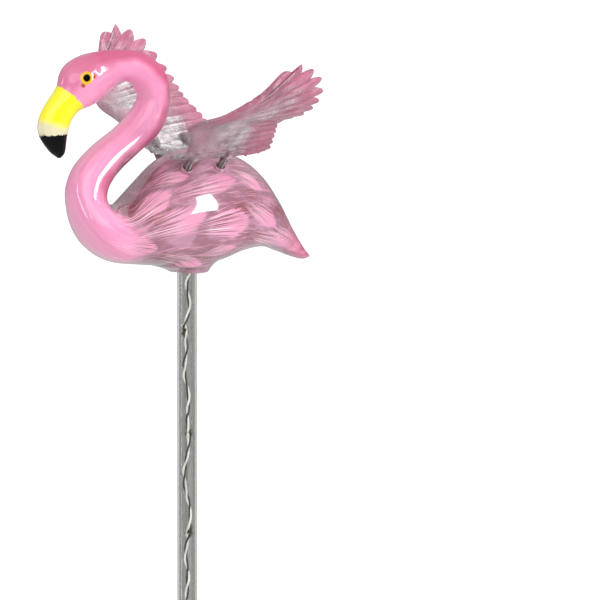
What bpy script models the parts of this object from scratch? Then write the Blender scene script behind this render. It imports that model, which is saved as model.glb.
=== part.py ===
"""Solar garden light: a translucent moulded flamingo with two clear wings on springs, on a clear stake tube.

Metres, +Z up. The origin is at ground level on the tube's axis, where the stake is cut off flat.
The bird faces -X, and its left side is -Y.
"""

import math

import bmesh
import bpy
from mathutils import Matrix, Vector
from mathutils.bvhtree import BVHTree

# Overall sizes
BIRD_LENGTH = 0.152
BIRD_HEIGHT_ABOVE_GROUND = 0.385

# The free forms of the bird and its wings are drawn in this unit, a millimetre at the real length
SHARE = BIRD_LENGTH / 152

# Fits
FIT_GAP = 0.0003

# Stake tube
TUBE_OD = 0.010
TUBE_WALL = 0.001
TUBE_IN_BIRD = 0.012
TUBE_IN_CASE = 0.018
TUBE_SIDES = 20

# Boss under the belly, which takes the tube
BOSS_WALL = 0.0034
BOSS_ROUND = 0.0009
BOSS_FLARE = 0.0090
BOSS_HEIGHT = 0.0125
BOSS_SETBACK = 0.0026

# The boss's flare above its straight wall, as shares of BOSS_FLARE out and of BOSS_HEIGHT up
BOSS_CURVE = ((0.2, 0.25), (0.55, 0.5), (1.0, 0.75), (0.5, 1.0), (-0.6, 1.3))

# Fillet that eases the belly into the boss's front: (radius, height) in the bird's shares, about an
# axis ahead of the tube's
FILLET_CURVE = ((4.5, 0.6), (10.1, 3.2), (15.5, 4.5), (12.0, 10.0))
FILLET_AHEAD = 4.5

# Wing springs
SPRING_OD = 0.004
SPRING_WIRE = 0.0006
SPRING_FREE = 0.0097
SPRING_LEAN = math.radians(47)
SPRING_SIDES = 12
SPRING_FRONT_X = -7.0 * SHARE
SPRING_REAR_X = 11.5 * SHARE
SPRING_SPREAD_Y = 13.5 * SHARE

# Spring sockets, on the bird's back and in the wings' roots
SOCKET_WALL = 0.0011
SOCKET_RIM = 0.0004
SOCKET_DOME = 0.0015
SOCKET_DOME_TOP = 0.6
NUB_HEIGHT = 0.0008
NUB_DEPTH = 0.0022
NUB_ROOT = 0.005
WING_SOCKET_DEPTH = 0.0070
WING_SOCKET_END = 0.0014

# Wing plate
WING_EDGE = 0.0007
WING_ARM = 0.0034
WING_BLADE = 0.0018
FEATHER_RELIEF = 0.0008

# Light string inside the tube
WIRE_PAIR_OD = 0.0017
WIRE_SWING = 0.0011
WIRE_TURN = 0.033
DROP_OD = 0.0044
DROP_LENGTH = 0.0075
DROP_POINTEDNESS = 2.2
DROP_SWING = 0.3
DROP_PITCH = 0.0505
FIRST_DROP_BELOW_BIRD = 0.0295
STRING_END_GAP = 0.003
WIRE_SIDES = 5
WIRE_TURN_STEPS = 5

# Battery case at the foot of the tube
CASE_WIDTH = 0.056
CASE_FRONT = 0.013
CASE_BACK = 0.038
CASE_UNDERSIDE = 0.020
CASE_LIP = 0.012
CASE_HEIGHT = 0.050
CASE_TOP = 0.024
CASE_ROUND = 0.003
COLLAR_WALL = 0.0035
COLLAR_HEIGHT = 0.010
COLLAR_ROUND = 0.001
FOOT_RADIUS = 0.011
FOOT_TAPER = 0.0025

# Solar panel in the case's slope
PANEL_MARGIN = 0.005
PANEL_THICKNESS = 0.003
PANEL_PROUD = 0.0006

# Bird: (upper x, upper z, lower x, lower z, half width) of each section from beak tip to tail tip,
# in shares, with z from the boss's underside
SECTIONS = (
    (-72.2, 61.2, -70.4, 61.1, 0.9),
    (-76.9, 65.0, -68.2, 64.0, 3.0),
    (-82.1, 72.6, -67.1, 71.7, 4.6),
    (-82.7, 79.7, -65.1, 78.7, 5.2),
    (-79.2, 87.3, -60.8, 84.0, 5.8),
    (-72.4, 96.4, -55.0, 86.1, 7.2),
    (-70.4, 103.1, -50.8, 87.9, 8.4),
    (-66.5, 108.2, -47.1, 90.3, 8.9),
    (-58.4, 112.0, -43.7, 93.6, 8.7),
    (-48.5, 113.4, -41.0, 95.7, 8.2),
    (-37.6, 113.8, -37.6, 97.7, 8.0),
    (-24.6, 111.5, -33.2, 97.4, 8.2),
    (-14.3, 103.6, -29.4, 94.8, 8.6),
    (-10.4, 91.3, -27.0, 89.7, 8.6),
    (-11.7, 80.3, -28.5, 85.7, 8.6),
    (-17.1, 70.5, -32.2, 80.9, 8.7),
    (-27.2, 62.5, -40.1, 74.0, 8.6),
    (-38.5, 53.5, -51.9, 65.9, 9.2),
    (-44.6, 46.1, -61.5, 56.5, 10.0),
    (-46.3, 39.9, -65.7, 46.0, 11.5),
    (-44.8, 36.3, -64.7, 35.8, 14.5),
    (-43.2, 35.6, -60.6, 24.1, 18.0),
    (-39.7, 36.1, -53.6, 14.1, 20.5),
    (-35.0, 37.9, -43.5, 7.7, 22.5),
    (-26.0, 47.9, -29.6, 5.6, 24.2),
    (-15.3, 57.6, -16.3, 4.4, 25.0),
    (-1.1, 62.1, 0.5, 4.0, 25.0),
    (14.1, 60.8, 15.1, 5.2, 23.8),
    (28.1, 56.3, 28.6, 9.5, 21.0),
    (38.8, 48.2, 40.9, 10.8, 16.8),
    (47.8, 36.1, 49.9, 8.0, 12.0),
    (56.2, 21.6, 57.2, 5.1, 7.6),
    (63.5, 10.6, 63.9, 3.2, 4.2),
    (68.0, 5.3, 68.3, 4.0, 1.2),
)
SECTION_STEPS = 2
RING_POINTS = 20

# The body narrows towards its back by BACK_NARROWING, and its flanks stay upright over FLANK_HEIGHT,
# a share of its half height. The neck does neither.
NECK_HALF_WIDTH = 9.0
BODY_HALF_WIDTH = 25.0
BACK_NARROWING = 0.28
FLANK_HEIGHT = 0.9

# Wing: its arch seen from the front as (out, up), from the mouths of its sockets, in shares
WING_ARCH = (
    (-14.0, -0.7),
    (-3.8, -0.5),
    (5.9, 2.9),
    (16.2, 10.3),
    (29.2, 18.6),
    (50.2, 25.1),
    (69.2, 36.8),
    (81.7, 52.3),
)

# Wing plan as (distance along the arch, x), in shares: leading edge from the root to the last joint
LEADING_EDGE = ((4.0, -14.5), (12.0, -12.5), (34.0, -17.6), (49.0, -24.0), (71.0, -16.6), (89.0, -6.0))

# Feather tips from the root's rear corner to the wing's tip
ARM_TIPS = ((16.0, 31.8), (21.5, 32.6), (27.5, 31.5), (33.0, 30.2), (38.0, 29.0), (43.0, 27.6))
HAND_TIPS = (
    (50.5, 26.6),
    (59.0, 28.0),
    (68.0, 30.0),
    (77.0, 31.2),
    (86.0, 30.8),
    (95.5, 29.2),
    (104.5, 25.5),
    (110.5, 19.2),
    (114.3, 11.6),
    (110.0, 3.4),
)
ROOT_CORNER = (12.6, 29.0)
OUTER_EDGE_END = (104.0, 0.5)

# The thick leading band: its depth at the root and at the tip, and the shares along the wing between
# which it turns to run out with the feathers
ARM_DEPTH = 8.5
HAND_DEPTH = 3.0
WRIST_START = 0.5
WRIST_END = 0.9

# The band's shoulder: share of its depth, and of its half thickness
BAND_SHOULDER = (0.35, 0.92)

# Notches between the feather tips, deeper on the hand, where they reach full depth after some feathers
ARM_NOTCH = 1.8
HAND_NOTCH = 5.0
NOTCH_GROWTH = 4
FEATHER_ROUNDNESS = 0.8
FAN_CENTRE = (60.0, 0.0)

# Facets of the wing
LEADING_STEPS = 12
ARCH_STEPS = 10
BLADE_ROWS = 4
FEATHER_COLUMNS = 4


def clear_scene():
    for item in list(bpy.data.objects):
        bpy.data.objects.remove(item, do_unlink=True)


def make_material(name, colour, roughness, metallic=0.0, transmission=0.0):
    material = bpy.data.materials.new(name)
    material.use_nodes = True
    shader = material.node_tree.nodes["Principled BSDF"]
    shader.inputs["Base Color"].default_value = (*colour, 1.0)
    shader.inputs["Roughness"].default_value = roughness
    shader.inputs["Metallic"].default_value = metallic
    shader.inputs["Transmission Weight"].default_value = transmission
    return material


def add_object(name, bm, material, parent=None):
    """An object named name from the bmesh, shaded smooth up to 40 degrees."""
    mesh = bpy.data.meshes.new(name)
    bmesh.ops.recalc_face_normals(bm, faces=bm.faces)
    if bm.calc_volume(signed=True) < 0:
        bmesh.ops.reverse_faces(bm, faces=bm.faces)
    bm.to_mesh(mesh)
    bm.free()
    mesh.shade_smooth()
    mesh.set_sharp_from_angle(angle=math.radians(40))
    mesh.materials.append(material)
    item = bpy.data.objects.new(name, mesh)
    bpy.context.collection.objects.link(item)
    item.parent = parent
    return item


def add_tool(name, bm, material, parent=None):
    """A helper solid for a Boolean, left out of renders."""
    tool = add_object(name, bm, material, parent)
    tool.hide_render = True
    tool.display_type = "WIRE"
    return tool


def boolean(item, tool, operation, solver="EXACT"):
    """MANIFOLD is for the free forms, whose small slanting facets leave open edges with EXACT."""
    modifier = item.modifiers.new(tool.name, "BOOLEAN")
    modifier.operation = operation
    modifier.solver = solver
    modifier.object = tool


def spline(points, steps):
    """A Catmull-Rom curve through points of any dimension, with steps intervals between neighbours."""
    rows = [Vector(point) for point in points]
    rows = [2 * rows[0] - rows[1], *rows, 2 * rows[-1] - rows[-2]]
    curve = []
    for a, b, c, d in zip(rows, rows[1:], rows[2:], rows[3:]):
        for step in range(steps):
            t = step / steps
            bend = (2 * a - 5 * b + 4 * c - d) * t * t + (3 * b - a - 3 * c + d) * t**3
            curve.append(0.5 * (2 * b + (c - a) * t + bend))
    curve.append(rows[-2])
    return curve


def clamp(value):
    return min(max(value, 0.0), 1.0)


def smooth(value):
    """0 up to 0, 1 from 1 on and smooth between them."""
    return clamp(value) ** 2 * (3 - 2 * clamp(value))


def along(curve, distance):
    """The point and the direction at a distance along a 2-D polyline, carried on straight past its ends."""
    walked = 0.0
    for a, b in zip(curve, curve[1:]):
        length = (b - a).length
        if distance <= walked + length or b is curve[-1]:
            direction = (b - a) / length
            return a + direction * (distance - walked), direction
        walked += length


def loft(rings):
    """A closed bmesh through rings of equal count, each end closed by a fan."""
    bm = bmesh.new()
    rows = [[bm.verts.new(point) for point in ring] for ring in rings]
    count = len(rows[0])
    for low, high in zip(rows, rows[1:]):
        for i in range(count):
            j = (i + 1) % count
            bm.faces.new((low[i], low[j], high[j], high[i]))
    for row in (rows[0], rows[-1]):
        centre = bm.verts.new(sum((vert.co for vert in row), Vector()) / count)
        for i in range(count):
            bm.faces.new((row[i], row[(i + 1) % count], centre))
    return bm


def turned(profile, sides, place=Matrix()):
    """A closed turned solid from (radius, height) points, bottom to top, about the place's Z axis."""
    rings = []
    for radius, height in profile:
        angles = (2 * math.pi * i / sides for i in range(sides))
        rings.append([place @ Vector((radius * math.cos(a), radius * math.sin(a), height)) for a in angles])
    return loft(rings)


def pipe(outer, inner, length, sides, place=Matrix()):
    """An open tube with a through bore, from the place's origin up its Z axis."""
    bm = bmesh.new()
    loops = []
    for radius, height in ((outer, 0), (outer, length), (inner, length), (inner, 0)):
        angles = (2 * math.pi * i / sides for i in range(sides))
        points = (Vector((radius * math.cos(a), radius * math.sin(a), height)) for a in angles)
        loops.append([bm.verts.new(place @ point) for point in points])
    for low, high in zip(loops, loops[1:] + loops[:1]):
        for i in range(sides):
            j = (i + 1) % sides
            bm.faces.new((low[i], low[j], high[j], high[i]))
    return bm


def axis_place(point, direction):
    """A matrix with its origin at the point and its Z axis along the direction."""
    return Matrix.Translation(point) @ direction.to_track_quat("Z", "Y").to_matrix().to_4x4()


def body_rings():
    """The bird's cross-sections: ellipses that narrow towards the back where the body is wide."""
    rings = []
    for upper_x, upper_z, lower_x, lower_z, half_width in spline(SECTIONS, SECTION_STEPS):
        middle = Vector((upper_x + lower_x, 0, upper_z + lower_z)) / 2
        up = Vector((upper_x - lower_x, 0, upper_z - lower_z)) / 2
        fullness = (half_width - NECK_HALF_WIDTH) / (BODY_HALF_WIDTH - NECK_HALF_WIDTH)
        narrowing = BACK_NARROWING * clamp(fullness)
        ring = []
        for i in range(RING_POINTS):
            angle = 2 * math.pi * i / RING_POINTS
            lean = math.sin(angle) * smooth(abs(math.sin(angle)) / FLANK_HEIGHT)
            side = half_width * math.cos(angle) * (1 - narrowing * lean)
            ring.append((middle + up * math.sin(angle) + Vector((0, side, 0))) * SHARE)
        rings.append(ring)
    return rings


def hand_of(side):
    """The bird's left is side -1 and its right is side 1."""
    return "left" if side < 0 else "right"


def spring_direction(side):
    return Vector((0, side * math.sin(SPRING_LEAN), math.cos(SPRING_LEAN)))


def spring_mouth(surface, side):
    """Where the springs of one side reach the wing, in the bird's frame at x = 0."""
    feet = []
    for x in (SPRING_FRONT_X, SPRING_REAR_X):
        above = Vector((x, side * SPRING_SPREAD_Y, BIRD_LENGTH))
        feet.append(surface.ray_cast(above, Vector((0, 0, -1)))[0])
    foot = (feet[0] + feet[1]) / 2
    foot.x = 0
    return foot + spring_direction(side) * (NUB_HEIGHT + SPRING_FREE)


def springs_of(mouth):
    """Each spring's name, and its centre at the wing socket's mouth."""
    return (
        ("front", mouth + Vector((SPRING_FRONT_X, 0, 0))),
        ("rear", mouth + Vector((SPRING_REAR_X, 0, 0))),
    )


def build_body(material, cutter, bird):
    """The bird with its boss and spring nubs. Returns the middle of the wing sockets' mouths by side."""
    bm = loft(body_rings())
    bmesh.ops.recalc_face_normals(bm, faces=bm.faces)
    surface = BVHTree.FromBMesh(bm)
    mouths = {side: spring_mouth(surface, side) for side in (-1, 1)}
    body = add_object("flamingo_body", bm, material, bird)

    bore = TUBE_OD / 2 + FIT_GAP
    boss = bore + BOSS_WALL
    profile = [(boss - BOSS_ROUND, 0), (boss, BOSS_ROUND)]
    profile += [(boss + BOSS_FLARE * out, BOSS_HEIGHT * up) for out, up in BOSS_CURVE]
    tool = turned(profile, TUBE_SIDES, Matrix.Translation((BOSS_SETBACK, 0, 0)))
    boolean(body, add_tool("boss", tool, cutter, bird), "UNION", "MANIFOLD")
    profile = [(radius * SHARE, height * SHARE) for radius, height in FILLET_CURVE]
    tool = turned(profile, TUBE_SIDES, Matrix.Translation((-FILLET_AHEAD * SHARE, 0, 0)))
    boolean(body, add_tool("boss_fillet", tool, cutter, bird), "UNION", "MANIFOLD")

    spring_bore = SPRING_OD / 2 + FIT_GAP
    nub = spring_bore + SOCKET_WALL
    for side, mouth in mouths.items():
        direction = spring_direction(side)
        for name, centre in springs_of(mouth):
            place = axis_place(centre - direction * SPRING_FREE, direction)
            profile = ((nub, -NUB_ROOT), (nub, -SOCKET_RIM), (nub - SOCKET_RIM, 0))
            tool = turned(profile, SPRING_SIDES, place)
            tool_name = f"nub_{hand_of(side)}_{name}"
            boolean(body, add_tool(tool_name, tool, cutter, bird), "UNION", "MANIFOLD")
            profile = ((spring_bore, -NUB_DEPTH), (spring_bore, NUB_HEIGHT))
            tool = turned(profile, SPRING_SIDES, place)
            boolean(body, add_tool(f"{tool_name}_bore", tool, cutter, bird), "DIFFERENCE", "MANIFOLD")

    tool = turned(((bore, -BOSS_HEIGHT), (bore, TUBE_IN_BIRD)), TUBE_SIDES)
    boolean(body, add_tool("tube_bore", tool, cutter, bird), "DIFFERENCE", "MANIFOLD")
    return mouths


def build_springs(material, bird, mouths):
    """Close-wound springs: open tubes from the nubs' floors to the floors of the wing sockets."""
    for side, mouth in mouths.items():
        direction = spring_direction(side)
        for name, centre in springs_of(mouth):
            low = centre - direction * (SPRING_FREE + NUB_DEPTH - FIT_GAP)
            length = NUB_DEPTH + SPRING_FREE + WING_SOCKET_DEPTH - 2 * FIT_GAP
            bore = SPRING_OD / 2 - SPRING_WIRE
            bm = pipe(SPRING_OD / 2, bore, length, SPRING_SIDES, axis_place(low, direction))
            add_object(f"spring_{hand_of(side)}_{name}", bm, material, bird)


def feather_tips():
    """Outline of the feathered edge from the root's rear corner to the tip, as (notch, tip, notch, ...)."""
    tips = [Vector(tip) for tip in ARM_TIPS + HAND_TIPS]
    edge = [Vector(ROOT_CORNER)]
    for i, (tip, after) in enumerate(zip(tips, tips[1:])):
        middle = (tip + after) / 2
        across = (after - tip).normalized()
        inward = Vector((across.y, -across.x))
        if inward.dot(Vector(FAN_CENTRE) - middle) < 0:
            inward = -inward
        growth = clamp((i - len(ARM_TIPS)) / NOTCH_GROWTH)
        edge += [tip, middle + inward * (ARM_NOTCH + (HAND_NOTCH - ARM_NOTCH) * growth)]
    return edge + [tips[-1], Vector(OUTER_EDGE_END)]


def wing_columns():
    """Plan columns along the wing as (leading edge, rear of the band, feather's end, share across it)."""
    edge = feather_tips()
    feathers = len(edge) // 2
    leading = spline(LEADING_EDGE, LEADING_STEPS)
    reach = sum((b - a).length for a, b in zip(leading, leading[1:]))
    columns = []
    total = feathers * FEATHER_COLUMNS
    for i in range(total + 1):
        share = i / total
        feather, step = divmod(i, FEATHER_COLUMNS)
        if feather == feathers:
            feather, step = feathers - 1, FEATHER_COLUMNS
        across = step / FEATHER_COLUMNS
        notch, tip, after = edge[2 * feather : 2 * feather + 3]
        bulge = tip - notch.lerp(after, 0.5)
        end = notch.lerp(after, across) + bulge * math.sin(math.pi * across) ** FEATHER_ROUNDNESS
        front, direction = along(leading, reach * share)
        square = Vector((-direction.y, direction.x))
        outward = (end - front).normalized()
        turn = clamp((share - WRIST_START) / (WRIST_END - WRIST_START))
        depth = ARM_DEPTH + (HAND_DEPTH - ARM_DEPTH) * share
        band = front + square.lerp(outward, turn).normalized() * depth
        columns.append((front, band, end, across))
    return columns


def wing_point(arch, plan, height, side, mouth):
    """A point of the wing in the bird's frame, at a height above the middle of its plate."""
    place, direction = along(arch, plan.x)
    out = place.x * SHARE - direction.y * height
    up = place.y * SHARE + direction.x * height
    return mouth + Vector((plan.y * SHARE, side * out, up))


def wing_plate(side, mouth):
    """The feathered plate, closed: each column runs over the top and back along the underside."""
    arch = spline(WING_ARCH, ARCH_STEPS)
    shoulder, fullness = BAND_SHOULDER
    bm = bmesh.new()
    tops, undersides = [], []
    for front, band, end, across in wing_columns():
        ridge = FEATHER_RELIEF * (math.sin(math.pi * across) - 0.5)
        rows = [(front, WING_EDGE / 2), (front.lerp(band, shoulder), WING_ARM / 2 * fullness)]
        rows.append((band, WING_ARM / 2))
        for row in range(1, BLADE_ROWS + 1):
            t = row / BLADE_ROWS
            thick = WING_BLADE + (WING_ARM - WING_BLADE) * (1 - t) ** 2
            thick = thick + (WING_EDGE - thick) * t**3
            rows.append((band.lerp(end, t), thick / 2 + ridge * min(3 * t, 1) * (1 - t**6)))
        tops.append([bm.verts.new(wing_point(arch, p, h, side, mouth)) for p, h in rows])
        undersides.append([bm.verts.new(wing_point(arch, p, -h, side, mouth)) for p, h in rows])
    for near, far in zip(range(len(tops)), range(1, len(tops))):
        for row in range(len(tops[0]) - 1):
            for sheet in (tops, undersides):
                bm.faces.new((sheet[near][row], sheet[far][row], sheet[far][row + 1], sheet[near][row + 1]))
        for row in (0, -1):
            bm.faces.new((tops[near][row], tops[far][row], undersides[far][row], undersides[near][row]))
    for column in (0, -1):
        for row in range(len(tops[0]) - 1):
            top, under = tops[column], undersides[column]
            bm.faces.new((top[row], top[row + 1], under[row + 1], under[row]))
    return bm


def build_wings(material, cutter, bird, mouths):
    """Both wings, each with two blind sockets that take its springs."""
    bore = SPRING_OD / 2 + FIT_GAP
    wall = bore + SOCKET_WALL
    length = WING_SOCKET_DEPTH + WING_SOCKET_END
    outside = [(wall - SOCKET_RIM, 0), (wall, SOCKET_RIM)]
    outside += [(wall, length - SOCKET_DOME), (wall * SOCKET_DOME_TOP, length)]
    inside = ((bore, -SPRING_FREE), (bore, WING_SOCKET_DEPTH))
    for side, mouth in mouths.items():
        hand = hand_of(side)
        wing = add_object(f"wing_{hand}", wing_plate(side, mouth), material, bird)
        direction = spring_direction(side)
        for part, profile, operation in (("socket", outside, "UNION"), ("bore", inside, "DIFFERENCE")):
            for name, centre in springs_of(mouth):
                tool = turned(profile, SPRING_SIDES, axis_place(centre, direction))
                boolean(wing, add_tool(f"{part}_{hand}_{name}", tool, cutter, bird), operation, "MANIFOLD")


def build_tube(material):
    """The clear tube from the case's socket to the socket in the bird."""
    low = CASE_HEIGHT + COLLAR_HEIGHT - TUBE_IN_CASE
    high = BIRD_HEIGHT_ABOVE_GROUND + TUBE_IN_BIRD - FIT_GAP
    bm = pipe(TUBE_OD / 2, TUBE_OD / 2 - TUBE_WALL, high - low, TUBE_SIDES, Matrix.Translation((0, 0, low)))
    add_object("stake_tube", bm, material)


def build_light_string(material):
    """The twisted pair with its light drops, as one solid of the pair's outer shape."""
    low = CASE_HEIGHT + COLLAR_HEIGHT - TUBE_IN_CASE + STRING_END_GAP
    high = BIRD_HEIGHT_ABOVE_GROUND + TUBE_IN_BIRD - STRING_END_GAP
    first = BIRD_HEIGHT_ABOVE_GROUND - FIRST_DROP_BELOW_BIRD
    steps = round((high - low) / WIRE_TURN * WIRE_TURN_STEPS)
    rings = []
    for i in range(steps + 1):
        height = low + (high - low) * i / steps
        from_drop = (height - first + DROP_PITCH / 2) % DROP_PITCH - DROP_PITCH / 2
        swell = 0
        if height < first + DROP_PITCH / 2:
            swell = math.exp(-((DROP_POINTEDNESS * from_drop / DROP_LENGTH) ** 2))
        radius = (WIRE_PAIR_OD + (DROP_OD - WIRE_PAIR_OD) * swell) / 2
        turn = 2 * math.pi * height / WIRE_TURN
        swing = WIRE_SWING * (1 - (1 - DROP_SWING) * swell)
        middle = Vector((swing * math.cos(turn), swing * math.sin(turn), height))
        angles = [2 * math.pi * k / WIRE_SIDES for k in range(WIRE_SIDES)]
        rings.append([middle + Vector((radius * math.cos(a), radius * math.sin(a), 0)) for a in angles])
    add_object("light_string", loft(rings), material)


def prism(outline, width):
    """A closed solid from an (x, z) outline, centred on Y."""
    bm = bmesh.new()
    sides = [[bm.verts.new((x, y, z)) for x, z in outline] for y in (-width / 2, width / 2)]
    bm.faces.new(sides[0])
    bm.faces.new(sides[1])
    for i in range(len(outline)):
        j = (i + 1) % len(outline)
        bm.faces.new((sides[0][i], sides[0][j], sides[1][j], sides[1][i]))
    return bm


def build_case(case_material, panel_material, cutter):
    """The battery case with its foot, the tube's collar and the panel set in its slope."""
    lip = CASE_UNDERSIDE + CASE_LIP
    ridge_x = CASE_TOP - CASE_FRONT
    outline = (
        (-CASE_FRONT, CASE_UNDERSIDE),
        (CASE_BACK, CASE_UNDERSIDE),
        (CASE_BACK, lip),
        (ridge_x, CASE_HEIGHT),
        (-CASE_FRONT, CASE_HEIGHT),
    )
    case = add_object("battery_case", prism(outline, CASE_WIDTH), case_material)
    bevel = case.modifiers.new("round", "BEVEL")
    bevel.width = CASE_ROUND
    bevel.segments = 2
    bevel.limit_method = "ANGLE"

    foot = [(FOOT_RADIUS - FOOT_TAPER, 0)]
    foot += [(FOOT_RADIUS, height) for height in (CASE_UNDERSIDE, CASE_UNDERSIDE + CASE_LIP / 2)]
    boolean(case, add_tool("foot", turned(foot, TUBE_SIDES), cutter), "UNION")
    bore = TUBE_OD / 2 + FIT_GAP
    wall = bore + COLLAR_WALL
    top = CASE_HEIGHT + COLLAR_HEIGHT
    wide = wall + COLLAR_ROUND
    collar = [(wide, height) for height in (CASE_HEIGHT - CASE_LIP / 2, CASE_HEIGHT)]
    collar += [(wall, top - COLLAR_ROUND), (wall - COLLAR_ROUND, top)]
    boolean(case, add_tool("collar", turned(collar, TUBE_SIDES), cutter), "UNION")
    floor = top - TUBE_IN_CASE - FIT_GAP
    tool = turned(((bore, floor), (bore, top + bore)), TUBE_SIDES)
    boolean(case, add_tool("collar_bore", tool, cutter), "DIFFERENCE")

    slope = Vector((CASE_BACK - ridge_x, 0, lip - CASE_HEIGHT))
    normal = Vector((-slope.z, 0, slope.x)).normalized()
    centre = Vector(((CASE_BACK + ridge_x) / 2, 0, (lip + CASE_HEIGHT) / 2))
    place = Matrix((slope.normalized(), (0, 1, 0), normal)).transposed().to_4x4()
    length = slope.length - 2 * PANEL_MARGIN
    width = CASE_WIDTH - 2 * PANEL_MARGIN
    for name, grow, depth in (("panel_recess", FIT_GAP, FIT_GAP), ("solar_panel", 0, 0)):
        bm = bmesh.new()
        bmesh.ops.create_cube(bm, size=1)
        size = Vector((length + 2 * grow, width + 2 * grow, PANEL_THICKNESS + depth))
        low = PANEL_PROUD - PANEL_THICKNESS - depth
        bmesh.ops.scale(bm, vec=size, verts=bm.verts)
        bmesh.ops.translate(bm, vec=(0, 0, low + size.z / 2), verts=bm.verts)
        bmesh.ops.transform(bm, matrix=Matrix.Translation(centre) @ place, verts=bm.verts)
        if depth:
            boolean(case, add_tool(name, bm, cutter), "DIFFERENCE")
        else:
            add_object(name, bm, panel_material)


clear_scene()
pink = make_material("pink_plastic", (0.92, 0.36, 0.50), 0.12)
wing_pink = make_material("clear_plastic_pink", (0.93, 0.62, 0.72), 0.18, transmission=0.6)
clear = make_material("clear_plastic", (0.93, 0.95, 0.95), 0.05, transmission=0.9)
steel = make_material("spring_steel", (0.35, 0.33, 0.32), 0.25, metallic=1.0)
wire = make_material("light_wire", (0.75, 0.74, 0.70), 0.3, metallic=0.6)
black = make_material("black_plastic", (0.02, 0.02, 0.022), 0.4)
cell = make_material("solar_cell", (0.02, 0.03, 0.09), 0.15)
tool_grey = make_material("tool", (0.5, 0.5, 0.5), 0.5)

flamingo = bpy.data.objects.new("flamingo", None)
flamingo.location = (0, 0, BIRD_HEIGHT_ABOVE_GROUND)
bpy.context.collection.objects.link(flamingo)

wing_mouths = build_body(pink, tool_grey, flamingo)
build_springs(steel, flamingo, wing_mouths)
build_wings(wing_pink, tool_grey, flamingo, wing_mouths)
build_tube(clear)
build_light_string(wire)
build_case(black, cell, tool_grey)
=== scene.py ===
"""Looks of the solar flamingo garden light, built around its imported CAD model.

Metres, +Z up. The bird faces -X and its left side is -Y. A name that ends in _PX is a place in the
photograph, which is 600 pixels wide and high.
"""

import math
import random

import bmesh
import bpy
import numpy as np
from mathutils import Matrix, Vector, kdtree, noise
from mathutils.bvhtree import BVHTree


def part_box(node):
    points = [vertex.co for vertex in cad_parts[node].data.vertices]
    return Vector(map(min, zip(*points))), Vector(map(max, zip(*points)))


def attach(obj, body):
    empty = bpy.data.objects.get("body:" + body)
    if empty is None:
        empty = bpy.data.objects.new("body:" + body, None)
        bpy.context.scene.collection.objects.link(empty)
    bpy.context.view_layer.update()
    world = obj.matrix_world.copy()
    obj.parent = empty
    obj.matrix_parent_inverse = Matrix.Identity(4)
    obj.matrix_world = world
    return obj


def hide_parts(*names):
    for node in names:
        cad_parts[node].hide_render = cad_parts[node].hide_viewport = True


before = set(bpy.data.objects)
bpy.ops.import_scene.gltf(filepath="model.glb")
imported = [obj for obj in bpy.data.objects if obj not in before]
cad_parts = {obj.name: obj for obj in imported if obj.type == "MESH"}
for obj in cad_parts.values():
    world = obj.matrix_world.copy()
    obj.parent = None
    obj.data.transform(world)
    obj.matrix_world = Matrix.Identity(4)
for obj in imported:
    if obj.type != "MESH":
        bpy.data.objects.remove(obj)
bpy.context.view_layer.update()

# Sizes that the CAD model also has
BIRD_HEIGHT = 0.385
MM = 0.001
TUBE_OD = 0.010
TUBE_WALL = 0.001
BORE_GAP = 0.0003
BOSS_WALL = 0.0034
BOSS_ROUND = 0.0009
BOSS_FLARE = 0.0090
BOSS_HEIGHT = 0.0125
BOSS_SETBACK = 0.0026
BOSS_CURVE = ((0.2, 0.25), (0.55, 0.5), (1.0, 0.75), (0.5, 1.0), (-0.6, 1.3))
FILLET_CURVE = ((4.5, 0.6), (10.1, 3.2), (15.5, 4.5), (12.0, 10.0))
FILLET_AHEAD = 4.5
TUBE_IN_BIRD = 0.012
SPRING_OD = 0.004
SPRING_WIRE = 0.0006
SPRING_FREE = 0.0097
SPRING_LEAN = math.radians(47)
NUB_HEIGHT = 0.0008
NUB_DEPTH = 0.0022
SOCKET_WALL = 0.0011
WING_SOCKET_DEPTH = 0.0070
WING_SOCKET_END = 0.0014
WING_EDGE = 0.0007
WING_ARM = 0.0034
WING_BLADE = 0.0018

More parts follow.
